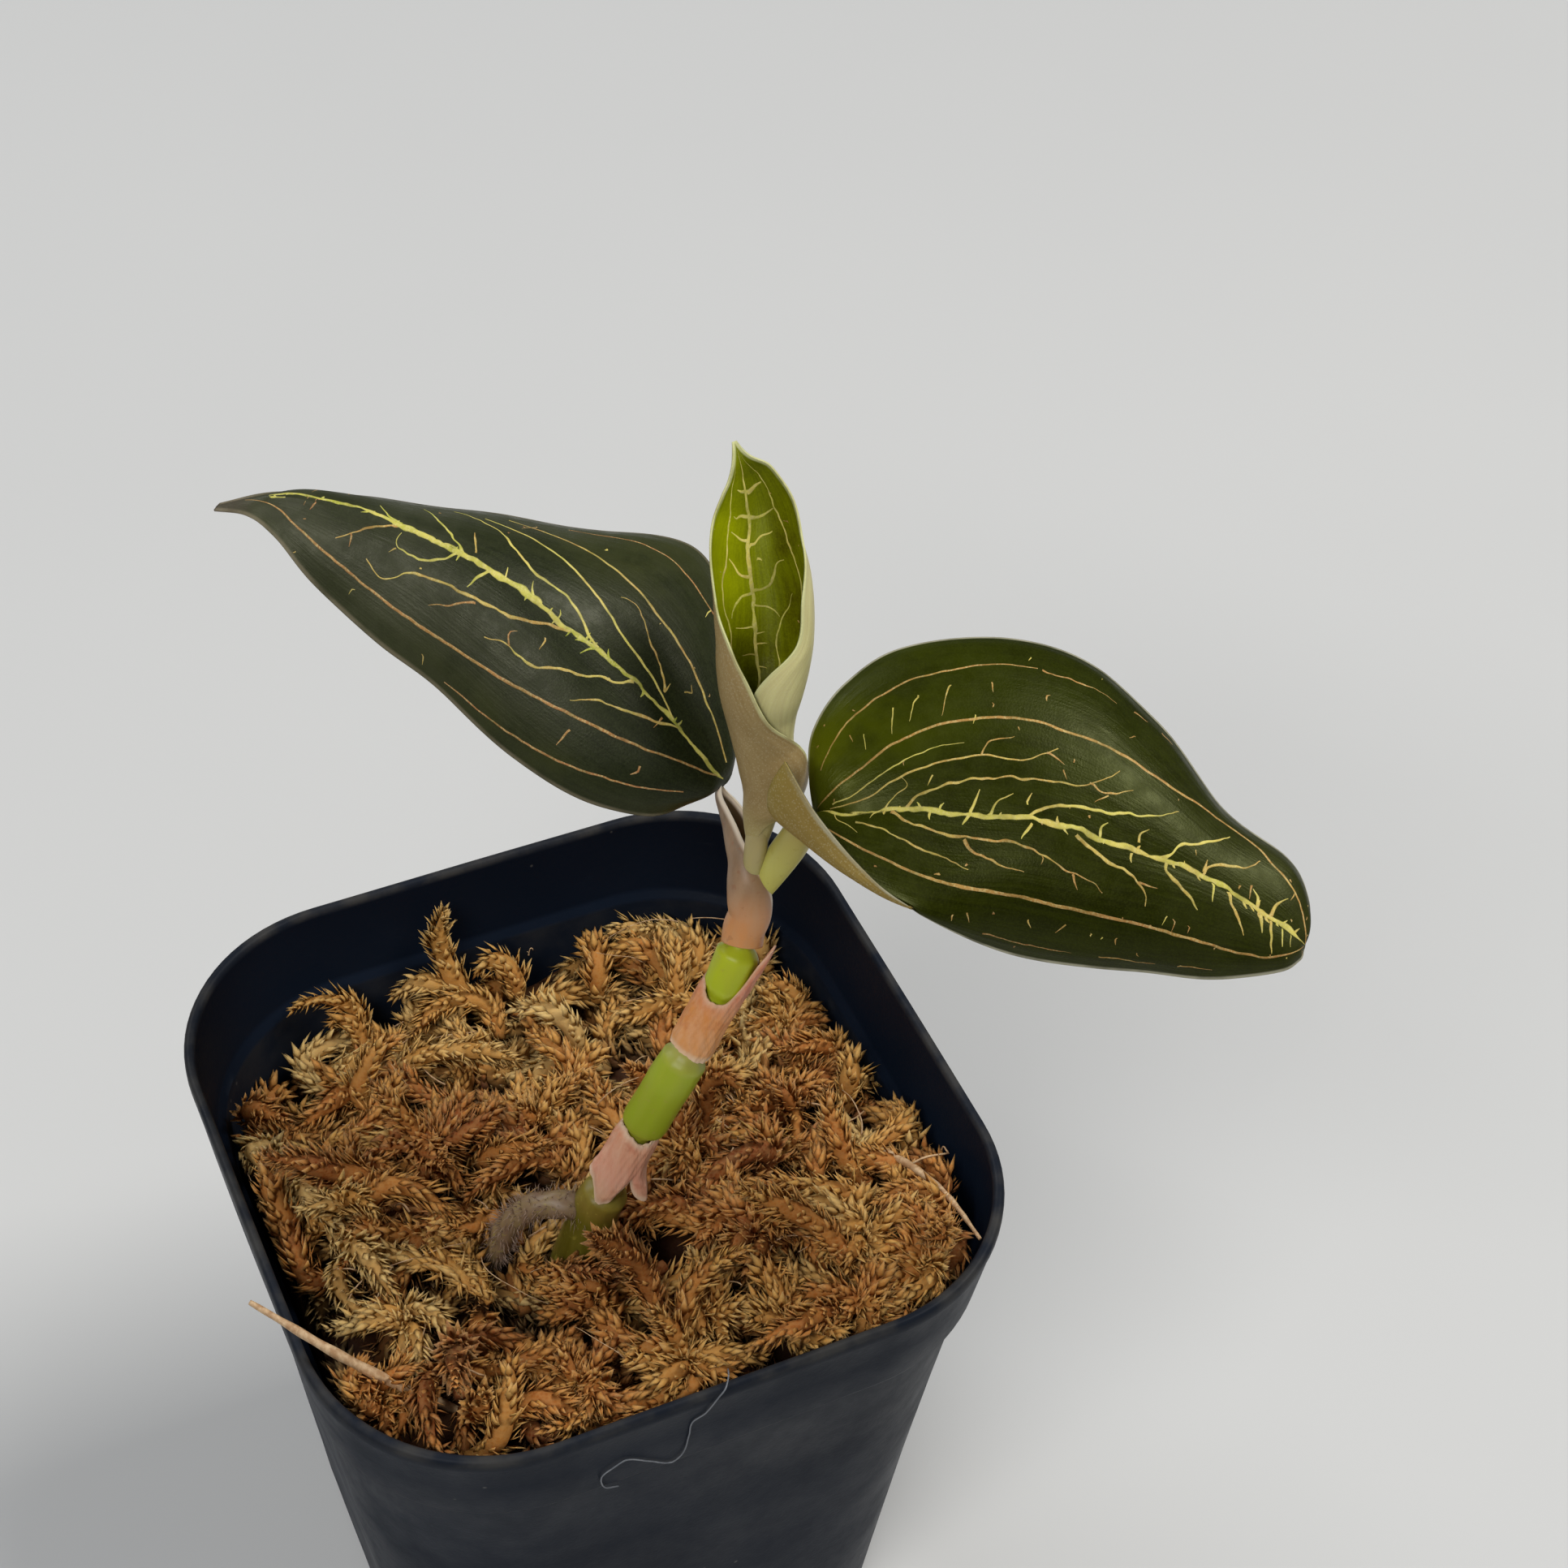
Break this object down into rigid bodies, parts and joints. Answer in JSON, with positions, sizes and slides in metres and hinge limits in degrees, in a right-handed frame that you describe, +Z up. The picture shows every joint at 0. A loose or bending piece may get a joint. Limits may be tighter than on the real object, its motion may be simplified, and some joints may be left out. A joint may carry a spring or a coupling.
{
  "type": "jewel orchid in pot",
  "caption": "Young jewel orchid with two dark, gold-veined leaves and a rolled new leaf, in a soft black square nursery pot of dried sphagnum moss.",
  "frame": {"origin": "centre of the pot's underside, on the surface it stands on", "axes": "+Z up; X and Y square to the pot's walls, with the dark leaf reaching to -X +Y and the green leaf to +X -Y"},
  "size_m": [0.0828, 0.0715, 0.1335],
  "materials": {
    "pot_plastic": "satin black, thin and flexible",
    "dried_moss": "dry, fibrous",
    "stem_green": "smooth, moist satin",
    "sheath_pink": "papery",
    "sheath_tan": "papery",
    "leaf_dark": "velvety satin",
    "leaf_green": "velvety satin",
    "leaf_new": "soft satin"
  },
  "bodies": {
    "root": {"pot": "pot_plastic", "moss": "dried_moss", "stem": "stem_green", "sheath_lower": "sheath_pink", "sheath_upper": "sheath_tan", "leaf_left": "leaf_dark", "leaf_right": "leaf_green", "leaf_young": "leaf_new"}
  },
  "joints": []
}
